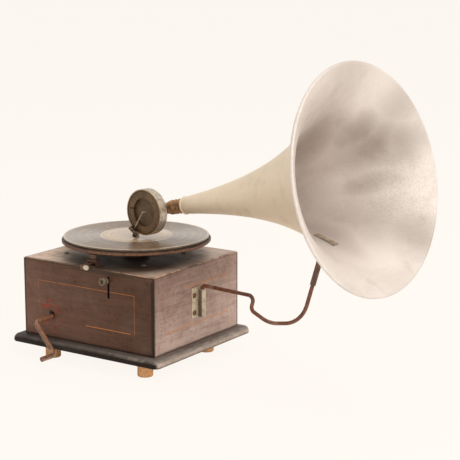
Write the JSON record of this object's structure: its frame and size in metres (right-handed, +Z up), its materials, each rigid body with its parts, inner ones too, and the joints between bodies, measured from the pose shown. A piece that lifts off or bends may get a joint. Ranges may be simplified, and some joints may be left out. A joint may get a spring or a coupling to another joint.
{
  "type": "horn gramophone",
  "caption": "Small table gramophone: worn wooden case with a crank, a flat disc on a turntable, and a flared metal horn and sound box on a swinging wire arm.",
  "frame": {"origin": "on the floor, in the middle of the whole object's footprint box", "axes": "+X along the front to the right, towards the horn's mouth; +Y to the back; +Z up"},
  "size_m": [0.4812, 0.2512, 0.371],
  "materials": {
    "front_wood": "dark worn varnish",
    "side_wood": "worn varnish",
    "top_wood": "faded varnish",
    "plinth_wood": "dark worn varnish",
    "turntable_wood": "worn",
    "cork": "matt cork",
    "brass": "dull",
    "steel": "dull",
    "rusted_steel": "brown with age",
    "worn_nickel": "worn nickel",
    "soundbox_metal": "worn nickel",
    "horn_metal": "dull, stained",
    "leather": "worn",
    "felt": "felt",
    "shellac": "grooved, dusty",
    "rubber": "aged",
    "mica": "browned"
  },
  "bodies": {
    "base": {"case_left": "side_wood", "case_right": "side_wood", "case_front": "front_wood", "case_back": "front_wood", "top_board": "top_wood", "plinth": "plinth_wood", "cork_feet": "cork", "arm_bracket": "worn_nickel", "board_screws": "steel", "spindle_bush": "brass", "motor_top_plate": "brass", "motor_bottom_plate": "brass", "motor_pillars": "steel", "motor_screws": "steel", "crank_bearing": "brass", "lever_bracket": "steel", "brake_bracket": "worn_nickel"},
    "platter": {"turntable": "turntable_wood", "turntable_hub": "steel", "felt_mat": "felt", "record": "shellac", "spindle": "steel", "governor_wheel": "brass"},
    "train": {"train_arbor": "steel", "train_wheel": "brass"},
    "barrel": {"spring_barrel": "brass", "barrel_lid": "brass", "mainspring": "steel"},
    "winder": {"barrel_arbor": "steel", "winding_wheel": "brass", "ratchet_wheel": "steel"},
    "crank": {"crank": "rusted_steel", "winding_pinion": "brass"},
    "pawl": {"click": "steel"},
    "governor": {"governor_shaft": "steel", "governor_disc": "brass", "governor_springs": "steel", "governor_weights": "brass"},
    "brake": {"brake_lever": "worn_nickel", "brake_pad": "leather"},
    "regulator": {"speed_lever": "steel", "speed_pad": "leather", "speed_knob": "worn_nickel"},
    "arm": {"horn_arm": "rusted_steel", "arm_ferrule": "worn_nickel"},
    "horn": {"horn": "horn_metal", "horn_foot": "worn_nickel", "backing_plate": "worn_nickel", "horn_rivets": "steel", "hinge_pin": "steel", "neck_sleeve": "leather"},
    "soundbox": {"soundbox_elbow": "soundbox_metal", "soundbox_shell": "soundbox_metal", "soundbox_ring": "soundbox_metal", "gaskets": "rubber", "diaphragm": "mica", "stylus_lever": "steel", "needle": "steel", "face_screws": "steel"},
    "thumbscrew": {"needle_screw": "steel"}
  },
  "joints": [
    {"name": "turntable_spin", "type": "hinge", "parent": "base", "child": "platter", "pos_m": [-0.12215, 0.02485, 0.1379], "axis": [0, 0, 1], "continuous": true},
    {"name": "train_spin", "type": "hinge", "parent": "base", "child": "train", "pos_m": [-0.15255, 0.02485, 0.0476], "axis": [0, 0, 1], "continuous": true},
    {"name": "barrel_spin", "type": "hinge", "parent": "base", "child": "barrel", "pos_m": [-0.18655, 0.02485, 0.0636], "axis": [0, 0, 1], "continuous": true},
    {"name": "governor_spin", "type": "hinge", "parent": "base", "child": "governor", "pos_m": [-0.10491, 0.04692, 0.0576], "axis": [0, 0, 1], "continuous": true},
    {"name": "crank_turn", "type": "hinge", "parent": "base", "child": "crank", "pos_m": [-0.18655, -0.06015, 0.0516], "axis": [0, 1, 0], "continuous": true},
    {"name": "winder_spin", "type": "hinge", "parent": "base", "child": "winder", "pos_m": [-0.18655, 0.02485, 0.0401], "axis": [0, 0, 1], "continuous": true},
    {"name": "click_swing", "type": "hinge", "parent": "base", "child": "pawl", "pos_m": [-0.20355, 0.03765, 0.0376], "axis": [0, 0, 1], "range_deg": [0, 12]},
    {"name": "brake_swing", "type": "hinge", "parent": "base", "child": "brake", "pos_m": [-0.12715, -0.05315, 0.1266], "axis": [1, 0, 0], "range_deg": [-12, 2]},
    {"name": "speed_swing", "type": "hinge", "parent": "base", "child": "regulator", "pos_m": [-0.09815, 0.01985, 0.0974], "axis": [1, 0, 0], "range_deg": [0, 12]},
    {"name": "arm_swing", "type": "hinge", "parent": "base", "child": "arm", "pos_m": [-0.02795, 0.02885, 0.0896], "axis": [0, 0, 1], "range_deg": [-5, 80]},
    {"name": "horn_lift", "type": "hinge", "parent": "arm", "child": "horn", "pos_m": [0.1496, 0.00705, 0.16445], "axis": [0.1219, 0.9925, 0], "range_deg": [0, 20]},
    {"name": "soundbox_turn", "type": "hinge", "parent": "horn", "child": "soundbox", "pos_m": [-0.06581, 0.0335, 0.18416], "axis": [0.9671, -0.1187, 0.225], "range_deg": [-60, 0]},
    {"name": "thumbscrew_turn", "type": "hinge", "parent": "soundbox", "child": "thumbscrew", "pos_m": [-0.11009, 0.007, 0.15032], "axis": [-0.5464, 0.0671, -0.8348], "continuous": true}
  ],
  "couplings": [
    {"joint": "train_spin", "follows": "turntable_spin", "ratio": -0.1875},
    {"joint": "barrel_spin", "follows": "turntable_spin", "ratio": 0.040179},
    {"joint": "governor_spin", "follows": "turntable_spin", "ratio": -7},
    {"joint": "winder_spin", "follows": "crank_turn", "ratio": -0.33333}
  ]
}
